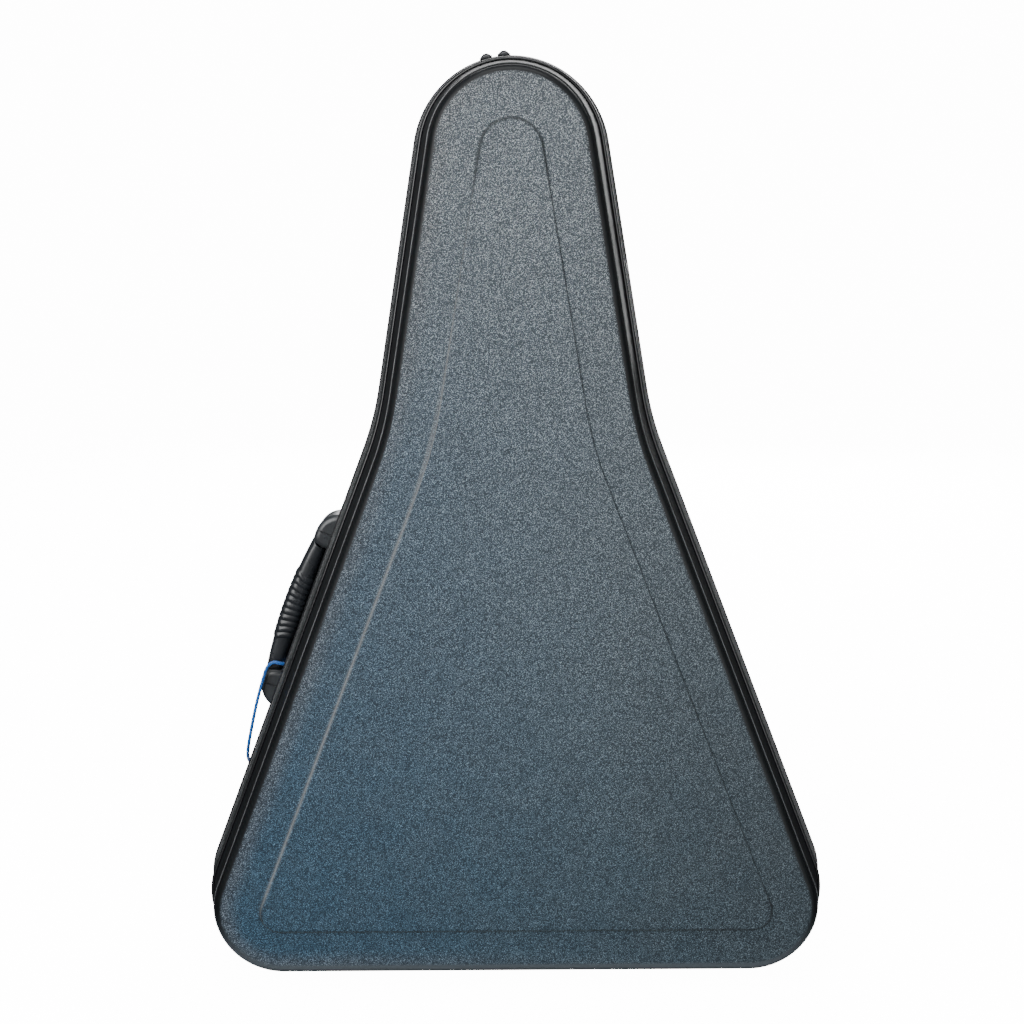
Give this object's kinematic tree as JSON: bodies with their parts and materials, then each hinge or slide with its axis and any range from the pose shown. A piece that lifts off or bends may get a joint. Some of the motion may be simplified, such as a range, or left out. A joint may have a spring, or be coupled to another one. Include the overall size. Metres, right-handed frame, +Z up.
{
  "type": "balalaika case",
  "caption": "Closed hard case for a triangular lute: textured shells, zipped rim, woven hinge band, flank handle, blue hanging cord and fitted plush interior.",
  "frame": {"origin": "on the floor under the middle of the closed case, which stands on its broad end", "axes": "+Z up from the broad end to the head, -Y out of the lid, -X to the handle, +X to the hinge band"},
  "size_m": [0.5154, 0.145, 0.7364],
  "materials": {
    "shell": "textured",
    "trim": "gloss",
    "tape": "woven",
    "coil": "satin",
    "webbing": "woven",
    "rubber": "matte",
    "cap": "satin",
    "grip": "satin",
    "steel": "brushed",
    "foam": "matte",
    "plush": "velvet",
    "slider_metal": "semi gloss",
    "cord": "braided",
    "tag": "satin",
    "brass": "polished"
  },
  "bodies": {
    "base": {"base_shell": "shell", "base_piping": "trim", "base_zipper_tape": "tape", "base_zipper_coil": "coil", "zipper_end_stops": "slider_metal", "hinge_band_base": "webbing", "base_feet": "rubber", "handle_cap_upper": "cap", "handle_cap_lower": "cap", "handle_screws": "steel", "handle_backing_plates": "steel", "base_foam": "foam", "base_lining": "plush", "neck_cradle": "plush", "compartment_tray": "plush", "compartment_hinge": "steel"},
    "lid": {"lid_shell": "shell", "lid_piping": "trim", "lid_zipper_tape": "tape", "lid_zipper_coil": "coil", "hinge_band_lid": "webbing", "lid_feet": "rubber", "lid_foam": "foam", "lid_lining": "plush"},
    "slider_left": {"slider_left": "slider_metal"},
    "pull_left": {"pull_left": "slider_metal"},
    "slider_right": {"slider_right": "slider_metal"},
    "pull_right": {"pull_right": "slider_metal"},
    "handle": {"handle_grip": "grip", "handle_strap": "steel", "hang_cord": "cord", "cord_knot": "cord", "hang_tag": "tag", "tag_eyelet": "brass"},
    "compartment_lid": {"compartment_lid": "plush", "compartment_tab": "tape"}
  },
  "joints": [
    {"name": "lid_hinge", "type": "hinge", "parent": "base", "child": "lid", "pos_m": [0.22199, -0.0175, 0.2], "axis": [-0.2942, 0, 0.9558], "range_deg": [0, 120]},
    {"name": "slider_left_travel", "type": "hinge", "parent": "base", "child": "slider_left", "pos_m": [0, -0.0175, 0.6595], "axis": [0, -1, 0], "range_deg": [0, 60]},
    {"name": "pull_left_swing", "type": "hinge", "parent": "slider_left", "child": "pull_left", "pos_m": [-0.01901, -0.0175, 0.733], "axis": [0, 1, 0], "range_deg": [0, 110]},
    {"name": "slider_right_travel", "type": "hinge", "parent": "base", "child": "slider_right", "pos_m": [0, -0.0175, 0.6595], "axis": [0, 1, 0], "range_deg": [0, 50]},
    {"name": "pull_right_swing", "type": "hinge", "parent": "slider_right", "child": "pull_right", "pos_m": [-0.0053, -0.0175, 0.73523], "axis": [0, -1, 0], "range_deg": [0, 110]},
    {"name": "handle_lift", "type": "slide", "parent": "base", "child": "handle", "axis": [-0.9317, 0, 0.3632], "range_m": [0, 0.005]},
    {"name": "compartment_lid_swing", "type": "hinge", "parent": "base", "child": "compartment_lid", "pos_m": [0.0852, -0.0104, 0.412], "axis": [0, 0, 1], "range_deg": [0, 90]}
  ]
}
